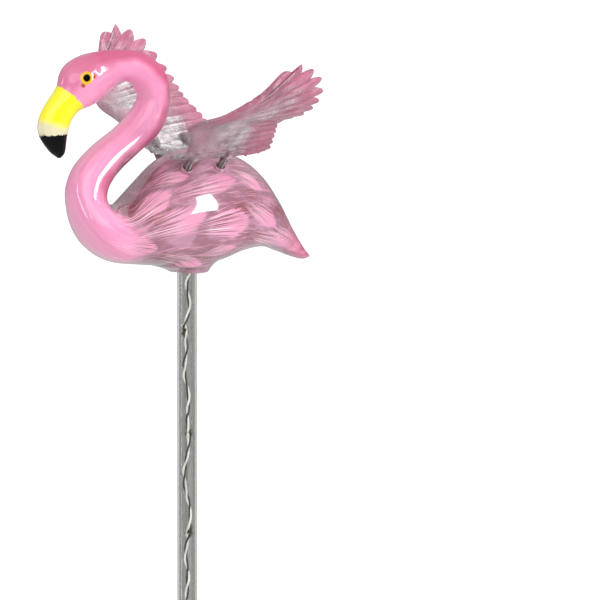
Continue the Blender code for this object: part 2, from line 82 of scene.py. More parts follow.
# The bird's cross-sections, as in the CAD model: (upper x, upper z, lower x, lower z, half width)
SECTIONS = (
    (-72.2, 61.2, -70.4, 61.1, 0.9),
    (-76.9, 65.0, -68.2, 64.0, 3.0),
    (-82.1, 72.6, -67.1, 71.7, 4.6),
    (-82.7, 79.7, -65.1, 78.7, 5.2),
    (-79.2, 87.3, -60.8, 84.0, 5.8),
    (-72.4, 96.4, -55.0, 86.1, 7.2),
    (-70.4, 103.1, -50.8, 87.9, 8.4),
    (-66.5, 108.2, -47.1, 90.3, 8.9),
    (-58.4, 112.0, -43.7, 93.6, 8.7),
    (-48.5, 113.4, -41.0, 95.7, 8.2),
    (-37.6, 113.8, -37.6, 97.7, 8.0),
    (-24.6, 111.5, -33.2, 97.4, 8.2),
    (-14.3, 103.6, -29.4, 94.8, 8.6),
    (-10.4, 91.3, -27.0, 89.7, 8.6),
    (-11.7, 80.3, -28.5, 85.7, 8.6),
    (-17.1, 70.5, -32.2, 80.9, 8.7),
    (-27.2, 62.5, -40.1, 74.0, 8.6),
    (-38.5, 53.5, -51.9, 65.9, 9.2),
    (-44.6, 46.1, -61.5, 56.5, 10.0),
    (-46.3, 39.9, -65.7, 46.0, 11.5),
    (-44.8, 36.3, -64.7, 35.8, 14.5),
    (-43.2, 35.6, -60.6, 24.1, 18.0),
    (-39.7, 36.1, -53.6, 14.1, 20.5),
    (-35.0, 37.9, -43.5, 7.7, 22.5),
    (-26.0, 47.9, -29.6, 5.6, 24.2),
    (-15.3, 57.6, -16.3, 4.4, 25.0),
    (-1.1, 62.1, 0.5, 4.0, 25.0),
    (14.1, 60.8, 15.1, 5.2, 23.8),
    (28.1, 56.3, 28.6, 9.5, 21.0),
    (38.8, 48.2, 40.9, 10.8, 16.8),
    (47.8, 36.1, 49.9, 8.0, 12.0),
    (56.2, 21.6, 57.2, 5.1, 7.6),
    (63.5, 10.6, 63.9, 3.2, 4.2),
    (68.0, 5.3, 68.3, 4.0, 1.2),
)
SECTION_STEPS = 10
RING_POINTS = 150
NECK_HALF_WIDTH = 9.0
BODY_HALF_WIDTH = 25.0
BACK_NARROWING = 0.28
FLANK_HEIGHT = 0.9

# The wing's arch and plan, as in the CAD model
WING_ARCH = (
    (-14.0, -0.7),
    (-3.8, -0.5),
    (5.9, 2.9),
    (16.2, 10.3),
    (29.2, 18.6),
    (50.2, 25.1),
    (69.2, 36.8),
    (81.7, 52.3),
)
LEADING_EDGE = ((4.0, -14.5), (12.0, -12.5), (34.0, -17.6), (49.0, -24.0), (71.0, -16.6), (89.0, -6.0))
ARM_TIPS = ((16.0, 31.8), (21.5, 32.6), (27.5, 31.5), (33.0, 30.2), (38.0, 29.0), (43.0, 27.6))
HAND_TIPS = (
    (50.5, 26.6),
    (59.0, 28.0),
    (68.0, 30.0),
    (77.0, 31.2),
    (86.0, 30.8),
    (95.5, 29.2),
    (104.5, 25.5),
    (110.5, 19.2),
    (114.3, 11.6),
    (110.0, 3.4),
)
ROOT_CORNER = (12.6, 29.0)
OUTER_EDGE_END = (104.0, 0.5)
ARM_DEPTH = 8.5
HAND_DEPTH = 3.0
WRIST_START = 0.5
WRIST_END = 0.9
ARM_NOTCH = 1.8
HAND_NOTCH = 5.0
NOTCH_GROWTH = 4
FEATHER_ROUNDNESS = 0.8
FAN_CENTRE = (60.0, 0.0)
FEATHER_COLUMNS = 16
BLADE_ROWS = 44
ARM_ROWS = 10

# Camera: the bird is turned 27 degrees to it, and it looks down by 7
VIEW_TURN = math.radians(27)
VIEW_DROP = math.radians(7)
CAMERA_DISTANCE = 10.0
FRAME_WIDTH = 0.300
FRAME_PX = 600
SENSOR_MM = 36
BORE_PX = (187, 272)


def camera_axes():
    """The camera's right, up and forward directions."""
    turn, drop = VIEW_TURN, VIEW_DROP
    right = Vector((math.cos(turn), -math.sin(turn), 0))
    up = Vector((math.sin(turn) * math.sin(drop), math.cos(turn) * math.sin(drop), math.cos(drop)))
    return right, up, up.cross(right)


def camera_place():
    """Where the camera stands, so that the boss's underside falls on its pixel."""
    right, up, forward = camera_axes()
    pixel = FRAME_WIDTH / FRAME_PX
    middle = FRAME_PX / 2
    target = Vector((0, 0, BIRD_HEIGHT)) + right * (middle - BORE_PX[0]) * pixel
    target -= up * (middle - BORE_PX[1]) * pixel
    return target - forward * CAMERA_DISTANCE


def pixel_ray(pixel):
    """The direction from the camera through a pixel of the photograph."""
    right, up, forward = camera_axes()
    step = FRAME_WIDTH / FRAME_PX / CAMERA_DISTANCE
    middle = FRAME_PX / 2
    return (forward + right * (pixel[0] - middle) * step - up * (pixel[1] - middle) * step).normalized()


def build_camera():
    right, up, forward = camera_axes()
    data = bpy.data.cameras.new("camera")
    data.sensor_width = SENSOR_MM
    data.lens = SENSOR_MM * CAMERA_DISTANCE / FRAME_WIDTH
    camera = bpy.data.objects.new("camera", data)
    turn = Matrix((right, up, -forward)).transposed().to_4x4()
    camera.matrix_world = Matrix.Translation(camera_place()) @ turn
    bpy.context.collection.objects.link(camera)
    bpy.context.scene.camera = camera


class Shader:
    """A material's node tree, built by calls that give sockets."""

    def __init__(self, name, **settings):
        self.material = bpy.data.materials.new(name)
        self.material.use_nodes = True
        self.tree = self.material.node_tree
        self.surface = self.tree.nodes["Principled BSDF"]
        for key, value in settings.items():
            self.set(key.replace("_", " "), value)

    def set(self, key, value):
        self.give(self.surface.inputs[key], value)

    def give(self, socket, value):
        if isinstance(value, bpy.types.NodeSocket):
            self.tree.links.new(value, socket)
        elif socket.type == "RGBA" and len(value) == 3:
            socket.default_value = (*value, 1)
        else:
            socket.default_value = value

    def node(self, kind, *values, **settings):
        node = self.tree.nodes.new("ShaderNode" + kind)
        for key, value in settings.items():
            setattr(node, key, value)
        for socket, value in zip([s for s in node.inputs if s.enabled], values):
            if value is not None:
                self.give(socket, value)
        return node

    def math(self, operation, *values):
        return self.node("Math", *values, operation=operation).outputs[0]

    def add(self, a, b):
        return self.math("ADD", a, b)

    def times(self, a, b):
        return self.math("MULTIPLY", a, b)

    def distance(self, a, b):
        return self.node("VectorMath", a, b, operation="DISTANCE").outputs["Value"]

    def past(self, place, origin, direction):
        """How far a place lies past an origin along a direction, times the direction's own length."""
        node = self.node("VectorMath", place, direction, operation="DOT_PRODUCT")
        return self.add(node.outputs["Value"], -origin.dot(direction))

    def swing(self, value, size):
        """A noise between 0 and 1, made to swing by size about 0."""
        return self.times(self.add(value, -0.5), size)

    def join(self, x, y, z):
        return self.node("CombineXYZ", x, y, z).outputs[0]

    def parts(self, vector):
        return self.node("SeparateXYZ", vector).outputs

    def mix(self, share, a, b, weight=1):
        """Colour a with b over it, as much as the share times the weight says."""
        if weight != 1:
            share = self.times(share, weight)
        node = self.node("Mix", data_type="RGBA")
        for key, value in ((0, share), (6, a), (7, b)):
            self.give(node.inputs[key], value)
        return node.outputs[2]

    def step(self, value, low, high):
        """0 below low, 1 above high and smooth between them. low may be the greater."""
        node = self.node("MapRange", value, interpolation_type="SMOOTHSTEP")
        ends = (low, high, 0.0, 1.0) if low < high else (high, low, 1.0, 0.0)
        for socket, number in zip(node.inputs[1:5], ends):
            socket.default_value = number
        return node.outputs[0]

    def noise(self, place, scale, detail=2.0, roughness=0.5, axes=3):
        node = self.node("TexNoise", noise_dimensions=f"{axes}D")
        for key, value in (("Scale", scale), ("Detail", detail), ("Roughness", roughness)):
            node.inputs[key].default_value = value
        self.give(node.inputs["W" if axes == 1 else "Vector"], place)
        return node.outputs[0]

    def strands(self, x, y, z, *settings):
        """Noise with factors of its own along x and y, as (value, factor) pairs."""
        return self.noise(self.join(self.times(*x), self.times(*y), z), *settings)

    def mottle(self, grain, low, high, first, second):
        """Ends a material with a base colour that changes as the grain goes from low to high."""
        self.set("Base Color", self.mix(self.step(grain, low, high), first, second))
        return self.material

    def place(self):
        """The point's place in the object, in metres."""
        return self.node("TexCoord").outputs["Object"]

    def field(self, name):
        return self.node("Attribute", attribute_name=name).outputs["Vector"]

    def bump(self, height, distance, strength):
        node = self.node("Bump")
        node.inputs["Strength"].default_value = strength
        node.inputs["Distance"].default_value = distance
        self.give(node.inputs["Height"], height)
        self.set("Normal", node.outputs[0])


def spline(points, steps):
    """A Catmull-Rom curve through points of any dimension, with steps intervals between neighbours."""
    rows = [Vector(point) for point in points]
    rows = [2 * rows[0] - rows[1], *rows, 2 * rows[-1] - rows[-2]]
    curve = []
    for a, b, c, d in zip(rows, rows[1:], rows[2:], rows[3:]):
        for step in range(steps):
            t = step / steps
            bend = (2 * a - 5 * b + 4 * c - d) * t * t + (3 * b - a - 3 * c + d) * t**3
            curve.append(0.5 * (2 * b + (c - a) * t + bend))
    curve.append(rows[-2])
    return curve


def clamp(value, low=0.0, high=1.0):
    return min(max(value, low), high)


def smooth(value, low, high):
    t = clamp((value - low) / (high - low))
    return t * t * (3 - 2 * t)


def loft(rings, capped=True):
    """A bmesh through rings of equal count, each end closed by a fan where capped."""
    bm = bmesh.new()
    rows = [[bm.verts.new(point) for point in ring] for ring in rings]
    count = len(rows[0])
    for low, high in zip(rows, rows[1:]):
        for i in range(count):
            j = (i + 1) % count
            bm.faces.new((low[i], low[j], high[j], high[i]))
    for row in (rows[0], rows[-1]) if capped else ():
        centre = bm.verts.new(sum((vert.co for vert in row), Vector()) / count)
        for i in range(count):
            bm.faces.new((row[i], row[(i + 1) % count], centre))
    return bm


def turned(profile, sides, place=Matrix(), capped=True):
    """A turned bmesh from (radius, height) points about the place's Z axis."""
    rings = []
    for radius, height in profile:
        angles = (2 * math.pi * i / sides for i in range(sides))
        rings.append([place @ Vector((radius * math.cos(a), radius * math.sin(a), height)) for a in angles])
    return loft(rings, capped)


def axis_place(point, direction):
    """A matrix with its origin at the point and its Z axis along the direction."""
    return Matrix.Translation(point) @ direction.to_track_quat("Z", "Y").to_matrix().to_4x4()


def tube_along(points, radius, sides):
    """A closed round bar along a list of points."""
    rings = []
    side = (points[1] - points[0]).orthogonal().normalized()
    for i, point in enumerate(points):
        ahead = (points[min(i + 1, len(points) - 1)] - points[max(i - 1, 0)]).normalized()
        side = (side - ahead * side.dot(ahead)).normalized()
        other = ahead.cross(side)
        angles = (2 * math.pi * k / sides for k in range(sides))
        rings.append([point + (side * math.cos(a) + other * math.sin(a)) * radius for a in angles])
    return loft(rings)


def add_piece(name, bm, material, slot=None, replaced=(), crease=40):
    """An object from the bmesh that rides on the part and stands for the replaced CAD nodes."""
    mesh = bpy.data.meshes.new(name)
    bmesh.ops.recalc_face_normals(bm, faces=bm.faces)
    bm.to_mesh(mesh)
    bm.free()
    mesh.shade_smooth()
    mesh.set_sharp_from_angle(angle=math.radians(crease))
    item = bpy.data.objects.new(name, mesh)
    bpy.context.collection.objects.link(item)
    if material:
        mesh.materials.append(material)
    if slot:
        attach(item, "root")
    if replaced:
        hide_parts(*replaced)
    return item


def cut(item, bm, operation):
    """Joins or cuts a closed bmesh to or from an object, and leaves no modifier."""
    tool = add_piece("tool", bm, None)
    modifier = item.modifiers.new("cut", "BOOLEAN")
    modifier.operation = operation
    modifier.solver = "MANIFOLD"
    modifier.object = tool
    evaluated = item.evaluated_get(bpy.context.evaluated_depsgraph_get())
    mesh = bpy.data.meshes.new_from_object(evaluated)
    item.modifiers.clear()
    item.data = mesh
    bpy.data.objects.remove(tool)


def finish_cut(item, material, points, **fields):
    """Gives a cut object shading, material and fields. A vertex takes those of the nearest point."""
    item.data.shade_smooth()
    item.data.set_sharp_from_angle(angle=math.radians(CUT_CREASE))
    item.data.materials.clear()
    item.data.materials.append(material)
    tree = kdtree.KDTree(len(points))
    for i, point in enumerate(points):
        tree.insert(point, i)
    tree.balance()
    nearest = [tree.find(vert.co)[1] for vert in item.data.vertices]
    for name, values in fields.items():
        field = item.data.attributes.new(name, "FLOAT_VECTOR", "POINT")
        field.data.foreach_set("vector", np.array([values[i] for i in nearest], np.float32).ravel())


# Bird

EYE_PX = (86.5, 78)
EYE_BOSS_RADIUS = 0.0068
EYE_BOSS_HEIGHT = 0.0006
EYE_BOSS_FLAT = 0.35
BLEND_RADIUS = 0.026
BLEND_PASSES = 30
CURVE_STEPS = 6
CUT_CREASE = 50
BOSS_SIDES = 96
SOCKET_SIDES = 40
BORE_SIDES = 64
SPRING_BORE_CUT = 0.008

# The neck's sides are a little flat, from one place to the other along the middle line in mm
NECK_SQUARENESS = 0.15
NECK_REACH = (95, 115)


def squared(share, squareness):
    """A sine or cosine that gives a squarer round: squareness 0 leaves it as it is."""
    return math.copysign(abs(share) ** (1 - squareness), share)


def bird_rings():
    """The bird's cross-sections, and for each the way along the middle line and round the section."""
    rings, fields = [], []
    walked = 0.0
    before = None
    for upper_x, upper_z, lower_x, lower_z, half_width in spline(SECTIONS, SECTION_STEPS):
        middle = Vector((upper_x + lower_x, 0, upper_z + lower_z)) / 2
        up = Vector((upper_x - lower_x, 0, upper_z - lower_z)) / 2
        walked += (middle - before).length if before else 0
        before = middle
        fullness = (half_width - NECK_HALF_WIDTH) / (BODY_HALF_WIDTH - NECK_HALF_WIDTH)
        narrowing = BACK_NARROWING * clamp(fullness)
        squareness = NECK_SQUARENESS * (1 - clamp(fullness)) * smooth(walked, *NECK_REACH)
        ring = []
        for i in range(RING_POINTS):
            angle = 2 * math.pi * i / RING_POINTS
            lean = math.sin(angle) * smooth(abs(math.sin(angle)), 0, FLANK_HEIGHT)
            side = half_width * squared(math.cos(angle), squareness) * (1 - narrowing * lean)
            point = (middle + up * squared(math.sin(angle), squareness) + Vector((0, side, 0))) * MM
            ring.append(point + Vector((0, 0, BIRD_HEIGHT)))
            around = math.asin(clamp(math.sin(angle), -1, 1)) * (half_width + up.length) / 2
            fields.append((walked * MM, around * MM, math.sin(angle)))
        rings.append(ring)
    return rings, fields


def bird_surface():
    bm = loft(bird_rings()[0])
    bmesh.ops.recalc_face_normals(bm, faces=bm.faces)
    surface = BVHTree.FromBMesh(bm)
    bm.free()
    return surface


def seen_on(surface, pixel):
    """Where a pixel of the photograph falls on a surface, or passes it closest, and the normal there."""
    start, ray = camera_place(), pixel_ray(pixel)
    place, normal = surface.ray_cast(start, ray)[:2]
    if place is None:
        place, normal = surface.find_nearest(start - ray * (start.y / ray.y))[:2]
    return place, normal


def spring_nodes():
    return [node for node in sorted(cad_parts) if node.startswith("spring_")]


def spring_axis(node):
    """The lower end, the direction and the length of a CAD spring."""
    points = [vert.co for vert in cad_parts[node].data.vertices]
    centre = sum(points, Vector()) / len(points)
    side = -1 if centre.y < 0 else 1
    direction = Vector((0, side * math.sin(SPRING_LEAN), math.cos(SPRING_LEAN)))
    ways = [(point - centre).dot(direction) for point in points]
    return centre + direction * min(ways), direction, max(ways) - min(ways)


def build_bird(material, surface, springs):
    rings, fields = bird_rings()
    points = [point for ring in rings for point in ring]
    eye = seen_on(surface, EYE_PX)[0]
    for point in points:
        mirrored = Vector((point.x, -abs(point.y), point.z))
        distance = (mirrored - eye).length
        if distance < EYE_BOSS_RADIUS:
            lift = EYE_BOSS_HEIGHT * (1 - smooth(distance / EYE_BOSS_RADIUS, EYE_BOSS_FLAT, 1.0))
            point.y += math.copysign(lift, point.y)
    bm = loft(rings)
    boss_centre = Vector((BOSS_SETBACK, 0, BIRD_HEIGHT))
    near = set(boss_verts(bm, boss_centre, 0.0))
    edges = [edge for edge in bm.edges if near.issuperset(edge.verts)]
    bmesh.ops.subdivide_edges(bm, edges=edges, cuts=1, use_grid_fill=True)
    bird = add_piece("flamingo_painted", bm, None)

    bore = TUBE_OD / 2 + BORE_GAP
    boss = bore + BOSS_WALL
    profile = [(bore * 0.5, 0), (boss - BOSS_ROUND, 0), (boss - BOSS_ROUND * 0.3, BOSS_ROUND * 0.3)]
    profile += [(boss, BOSS_ROUND)]
    flare = [(boss, BOSS_ROUND)] + [(boss + BOSS_FLARE * out, BOSS_HEIGHT * up) for out, up in BOSS_CURVE]
    profile += [tuple(point) for point in spline(flare, CURVE_STEPS)[1:]]
    cut(bird, turned(profile, BOSS_SIDES, Matrix.Translation(boss_centre)), "UNION")
    profile = [tuple(point * MM) for point in spline(FILLET_CURVE, CURVE_STEPS)]
    place = Matrix.Translation((-FILLET_AHEAD * MM, 0, BIRD_HEIGHT))
    cut(bird, turned(profile, BOSS_SIDES, place), "UNION")

    spring_bore = SPRING_OD / 2 + BORE_GAP
    nub = spring_bore + SOCKET_WALL
    profile = ((nub * 1.15, -0.005), (nub, -0.0008), (nub, -0.0004))
    profile += ((nub - 0.0002, -0.0001), (nub - 0.0005, 0))
    for low, direction, _ in springs:
        place = axis_place(low + direction * (NUB_DEPTH - BORE_GAP + NUB_HEIGHT), direction)
        cut(bird, turned(profile, SOCKET_SIDES, place), "UNION")
    smooth_joint(bird, boss_centre)
    profile = ((spring_bore, 0), (spring_bore, SPRING_BORE_CUT))
    for low, direction, _ in springs:
        place = axis_place(low - direction * BORE_GAP, direction)
        cut(bird, turned(profile, SOCKET_SIDES, place), "DIFFERENCE")
    place = Matrix.Translation((0, 0, BIRD_HEIGHT))
    cut(bird, turned(((bore, -BOSS_HEIGHT), (bore, TUBE_IN_BIRD)), BORE_SIDES, place), "DIFFERENCE")

    finish_cut(bird, material, points, flow=fields)
    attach(bird, "root")
    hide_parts("flamingo_body")


def boss_verts(bm, centre, low):
    """Vertices round the boss, above a height."""
    verts = [vert for vert in bm.verts if low < vert.co.z < centre.z + BOSS_HEIGHT]
    return [vert for vert in verts if (vert.co.xy - centre.xy).length < BLEND_RADIUS]


def smooth_joint(item, centre):
    """Rounds the crease where the boss meets the belly."""
    bm = bmesh.new()
    bm.from_mesh(item.data)
    near = boss_verts(bm, centre, centre.z + BOSS_ROUND * 2)
    for _ in range(BLEND_PASSES):
        bmesh.ops.smooth_vert(bm, verts=near, factor=0.5, use_axis_x=True, use_axis_y=True, use_axis_z=True)
    bm.to_mesh(item.data)
    bm.free()


# Bird paint. Colours are linear.

# Gap colours are painted shade: they stand for the dim inside of the clear shell seen between the painted
# feathers
GAP_GREY = (0.36, 0.16, 0.22)
GAP_BROWN = (0.30, 0.10, 0.12)
GAP_LILAC = (0.52, 0.27, 0.37)
NECK_PINK = (0.96, 0.30, 0.52)
NECK_LIGHT = (0.99, 0.42, 0.66)
NECK_DEEP = (0.60, 0.10, 0.21)
PALE_PINK = (0.92, 0.50, 0.66)
FEATHER_PINK = (0.84, 0.36, 0.54)
STREAK_PALE = (1.00, 0.80, 0.87)
TAIL_PINK = (0.76, 0.22, 0.35)
TAIL_DARK = (0.40, 0.08, 0.14)
BEAK_YELLOW = (1.00, 0.92, 0.01)
BEAK_WHITE = (0.80, 0.75, 0.50)
BEAK_BLACK = (0.001, 0.001, 0.001)
EYE_YELLOW = (0.85, 0.50, 0.02)
EYE_RUST = (0.45, 0.09, 0.02)
EYE_RING = 0.0034
EYE_PUPIL = 0.0020
EYE_GLINT = 0.0004
EYE_EDGE = 0.0002
# White of the painted highlight in the eye
GLINT_WHITE = (0.9, 0.9, 0.9)

# Ends of the colour bands on the beak: pixels at the band's two sides
YELLOW_EDGE_PX = ((58.5, 86), (84, 108))
WHITE_EDGE_PX = ((40, 121), (69, 129))
BLACK_EDGE_PX = ((38, 136), (67, 134))
BEAK_DOWN = Vector((-0.4, 0, -1))
EYE_SMUDGES_PX = (((93, 76.5), 0.0016), ((83, 85.5), 0.0013))

# Where paint changes along the bird's middle line, in metres from the beak's tip: from, to
BEAK_REACH = (0.052, 0.050)
CROWN_DEEP = (0.030, 0.056)
NECK_END = (0.166, 0.150)
SATIN_START = (0.0530, 0.0565)
SATIN_END = (0.093, 0.087)

# The same along X or Z, and inwards from a feather's skin
BODY_FRONT = (-0.043, -0.030)
NECK_FOOT = (BIRD_HEIGHT + 0.066, BIRD_HEIGHT + 0.060)
TAIL_START = (0.046, 0.066)
FEATHER_DEPTH = (-0.016, -0.012)

# Painted feathers from the tail to the neck, each over the one before: base, tip and half width
FEATHERS_PX = (
    ((262, 222), (306, 252), 9),
    ((246, 232), (290, 246), 9),
    ((238, 196), (276, 226), 10),
    ((222, 168), (262, 190), 9),
    ((196, 256), (236, 246), 7),
    ((192, 230), (250, 220), 18),
    ((150, 253), (201, 262), 10),
    ((188, 176), (218, 160), 7),
    ((168, 198), (236, 179), 12),
    ((136, 236), (208, 213), 15),
    ((138, 192), (189, 176), 9),
    ((104, 240), (158, 249), 11),
    ((116, 224), (171, 191), 15),
)
LEAF = ((0.0, 0.10), (0.15, 0.40), (0.4, 0.80), (0.6, 0.97), (0.78, 0.80), (0.92, 0.42), (1.0, 0.0))


def paint_feather(paint, under, place, surface, base_px, tip_px, half_px, seed):
    """One brushed feather over the colour under it: streaked at its base and solid at its round tip."""
    base, tip = (seen_on(surface, pixel)[0] for pixel in (base_px, tip_px))
    middle_px = [(a + b) / 2 for a, b in zip(base_px, tip_px)]
    normal = seen_on(surface, middle_px)[1]
    along = tip - base
    across = normal.cross(along).normalized()
    half = half_px * FRAME_WIDTH / FRAME_PX
    axis = along / along.length_squared
    t = paint.past(place, base, axis)
    c = paint.past(place, base, across / half)
    depth = paint.past(place, base, normal)
    wobble = paint.strands((t, 3.0), (c, 4.0), seed, 1.6, 3.0, 0.6)
    leaf = paint.node("FloatCurve", None, t)
    curve = leaf.mapping.curves[0]
    for point in LEAF[1:-1]:
        curve.points.new(*point)
    curve.points[0].location = LEAF[0]
    curve.points[-1].location = LEAF[-1]
    leaf.mapping.update()
    edge = paint.math("SUBTRACT", leaf.outputs[0], paint.math("ABSOLUTE", c))
    fan = paint.math("DIVIDE", c, paint.add(paint.times(t, 0.8), 0.35))
    bristles = paint.noise(paint.add(paint.times(fan, 19.0), seed + 1.9), 1.0, 2.0, 0.6, axes=1)
    ragged = paint.swing(bristles, paint.times(t, 1.3))
    edge = paint.add(paint.add(edge, paint.swing(wobble, 0.35)), ragged)
    inside = paint.times(paint.step(edge, 0.0, 0.10), paint.step(depth, *FEATHER_DEPTH))
    inside = paint.times(inside, paint.step(t, 0.0, 0.12))
    streaks = paint.strands((t, 0.7), (fan, 7.0), seed + 7.3, 1.5, 3.0, 0.6)
    cover = paint.step(paint.add(t, paint.swing(streaks, 3.2)), 0.24, 0.80)
    pale = paint.noise(paint.add(paint.times(fan, 8.0), seed + 23.1), 1.0, axes=1)
    pale = paint.step(pale, 0.55, 0.64)
    pale = paint.times(pale, paint.step(t, 0.80, 0.40))
    pink = paint.mix(paint.step(t, 0.2, 0.9), PALE_PINK, FEATHER_PINK)
    pink = paint.mix(paint.step(bristles, 0.50, 0.36), pink, NECK_PINK, 0.30)
    pink = paint.mix(pale, pink, STREAK_PALE)
    colour = paint.mix(cover, under, pink)
    return paint.mix(inside, under, colour)


def below_line(paint, place, surface, ends_px):
    """How far a place lies below a band's edge, towards the beak's tip, in metres."""
    first, last = (seen_on(surface, pixel)[0] for pixel in ends_px)
    line = Vector((last.x - first.x, 0, last.z - first.z)).normalized()
    normal = Vector((line.z, 0, -line.x))
    if normal.dot(BEAK_DOWN) < 0:
        normal = -normal
    return paint.past(place, first, normal)


def bird_paint(surface):
    paint = Shader("bird_paint", IOR=1.4, Coat_Roughness=0.03, Coat_IOR=1.55, Specular_IOR_Level=0.2)
    paint.set("Subsurface Weight", 0.12)
    paint.set("Subsurface Radius", (1.0, 0.35, 0.45))
    paint.set("Subsurface Scale", 0.003)
    x, y, z = paint.parts(paint.place())
    place = paint.join(x, paint.times(paint.math("ABSOLUTE", y), -1.0), z)
    way, around, rise = paint.parts(paint.field("flow"))

    brush = paint.strands((way, 60.0), (around, 420.0), rise, 1.0, 4.0, 0.65)
    fine = paint.strands((way, 150.0), (around, 1500.0), rise, 1.0, 3.0, 0.6)
    broad = paint.noise(place, 55.0)
    pink = paint.mix(paint.step(brush, 0.10, 0.90), NECK_PINK, NECK_LIGHT)
    pink = paint.mix(paint.step(fine, 0.50, 0.70), pink, NECK_PINK, 0.40)
    pink = paint.mix(paint.step(fine, 0.42, 0.30), pink, PALE_PINK, 0.35)
    # Deeper pink along the top and back of the neck and head: partly denser paint, partly painted shade on
    # the top edge, where less light falls
    deep_paint_and_shade = paint.step(paint.add(rise, paint.swing(broad, 1.2)), -0.05, 0.65)
    deep_paint_and_shade = paint.times(deep_paint_and_shade, paint.add(paint.times(paint.step(way, *CROWN_DEEP), 0.45), 0.40))
    deep_paint_and_shade = paint.times(deep_paint_and_shade, paint.step(way, *NECK_END))
    pink = paint.mix(deep_paint_and_shade, pink, NECK_DEEP)
    scratch = paint.step(paint.noise(place, 900.0, 2.0, 0.6), 0.66, 0.78)
    pink = paint.mix(scratch, pink, NECK_DEEP, 0.25)

    # The gaps take a painted shade of grey-pink in place of the dim inside seen through the clear shell, with
    # real pink paint streaks over it
    drift = paint.noise(paint.join(paint.times(x, 50.0), y, paint.times(z, 80.0)), 1.0, 3.0, 0.6)
    gap = paint.mix(paint.step(drift, 0.36, 0.50), GAP_LILAC, GAP_GREY)
    gap = paint.mix(paint.step(drift, 0.52, 0.64), gap, GAP_BROWN)
    rub = paint.strands((way, 55.0), (around, 480.0), 0.0, 1.0, 3.0, 0.6)
    gap = paint.mix(paint.step(rub, 0.50, 0.68), gap, FEATHER_PINK, 0.50)
    hair = paint.strands((way, 90.0), (around, 1500.0), 4.0, 1.0)
    gap = paint.mix(paint.step(hair, 0.60, 0.70), gap, PALE_PINK, 0.50)
    front = paint.add(x, paint.times(paint.math("MAXIMUM", rise, 0.0), 0.014))
    on_body = paint.step(paint.add(front, paint.swing(brush, 0.02)), *BODY_FRONT)
    below_neck = paint.step(z, *NECK_FOOT)
    colour = paint.mix(paint.times(on_body, below_neck), pink, gap)
    for number, (base_px, tip_px, half_px) in enumerate(FEATHERS_PX):
        colour = paint_feather(paint, colour, place, surface, base_px, tip_px, half_px, number * 2.7)

    tail = paint.step(x, *TAIL_START)
    marks = paint.step(paint.add(broad, paint.times(tail, 0.16)), 0.58, 0.66)
    colour = paint.mix(tail, colour, TAIL_PINK, 0.65)
    colour = paint.mix(paint.times(marks, tail), colour, TAIL_DARK, 0.8)

    fray = paint.swing(paint.noise(place, 500.0, 3.0, 0.6), 0.0022)
    ahead = paint.step(way, *BEAK_REACH)
    yellow = paint.add(below_line(paint, place, surface, YELLOW_EDGE_PX), fray)
    white = paint.add(below_line(paint, place, surface, WHITE_EDGE_PX), paint.times(fray, 2.0))
    teeth = paint.swing(paint.noise(place, 1300.0, 3.0, 0.7), 0.0034)
    black = paint.add(below_line(paint, place, surface, BLACK_EDGE_PX), paint.add(fray, teeth))
    colour = paint.mix(paint.step(yellow, -0.0004, 0.0004), colour, BEAK_YELLOW, ahead)
    colour = paint.mix(paint.step(white, -0.0022, 0.0022), colour, BEAK_WHITE, ahead)
    dark = paint.times(paint.step(black, -0.0001, 0.0002), ahead)
    colour = paint.mix(dark, colour, BEAK_BLACK)
    eye = seen_on(surface, EYE_PX)[0]
    pupil = paint.step(paint.distance(place, eye), EYE_PUPIL, EYE_PUPIL - EYE_EDGE)
    dark = paint.math("MAXIMUM", dark, pupil)
    satin = paint.times(paint.step(way, *SATIN_START), paint.step(way, *SATIN_END))
    paint.set("Coat Weight", paint.add(paint.times(paint.math("MAXIMUM", dark, satin), -0.95), 1.0))
    paint.set("Roughness", paint.add(paint.times(satin, 0.30), 0.14))

    for pixel, size in EYE_SMUDGES_PX:
        smudge = paint.add(paint.distance(place, seen_on(surface, pixel)[0]), paint.times(fray, 0.8))
        colour = paint.mix(paint.step(smudge, size, size * 0.7), colour, EYE_RUST)
    distance = paint.add(paint.distance(place, eye), paint.times(fray, 0.22))
    colour = paint.mix(paint.step(distance, EYE_RING, EYE_RING - EYE_EDGE), colour, EYE_YELLOW)
    colour = paint.mix(paint.step(distance, EYE_PUPIL, EYE_PUPIL - EYE_EDGE), colour, BEAK_BLACK)
    # A painted highlight: a small white dot in the pupil, where a lamp's glint would fall
    glint_place = seen_on(surface, (EYE_PX[0] + 1.4, EYE_PX[1] + 0.3))[0]
    painted_glint = paint.step(paint.distance(place, glint_place), EYE_GLINT, EYE_GLINT * 0.6)
    colour = paint.mix(painted_glint, colour, GLINT_WHITE)
    paint.set("Base Color", colour)
    paint.bump(paint.noise(place, 70.0, 1.0, 0.4), 0.0006, 0.12)
    return paint.material


# Springs

SPRING_PITCH = 0.00063
SPRING_TURN_STEPS = 20
SPRING_SIDES = 8


def build_springs(material):
    """Close-wound coils in place of the CAD model's open tubes."""
    for node in spring_nodes():
        low, direction, length = spring_axis(node)
        place = axis_place(low, direction)
        radius = (SPRING_OD - SPRING_WIRE) / 2
        rise = length - SPRING_WIRE
        steps = round(rise / SPRING_PITCH * SPRING_TURN_STEPS)
        points = []
        for i in range(steps + 1):
            angle = 2 * math.pi * i / SPRING_TURN_STEPS
            height = SPRING_WIRE / 2 + rise * i / steps
            points.append(place @ Vector((radius * math.cos(angle), radius * math.sin(angle), height)))
        bm = tube_along(points, SPRING_WIRE / 2, SPRING_SIDES)
        add_piece(node.replace("spring", "coil"), bm, material, "spring_steel", [node], 60)


def spring_chrome():
    paint = Shader("spring_chrome", Metallic=1.0, Roughness=0.08)
    grime = paint.noise(paint.place(), 900.0, 3.0, 0.6)
    return paint.mottle(grime, 0.4, 0.75, (0.34, 0.29, 0.29), (0.05, 0.035, 0.035))


# Wings

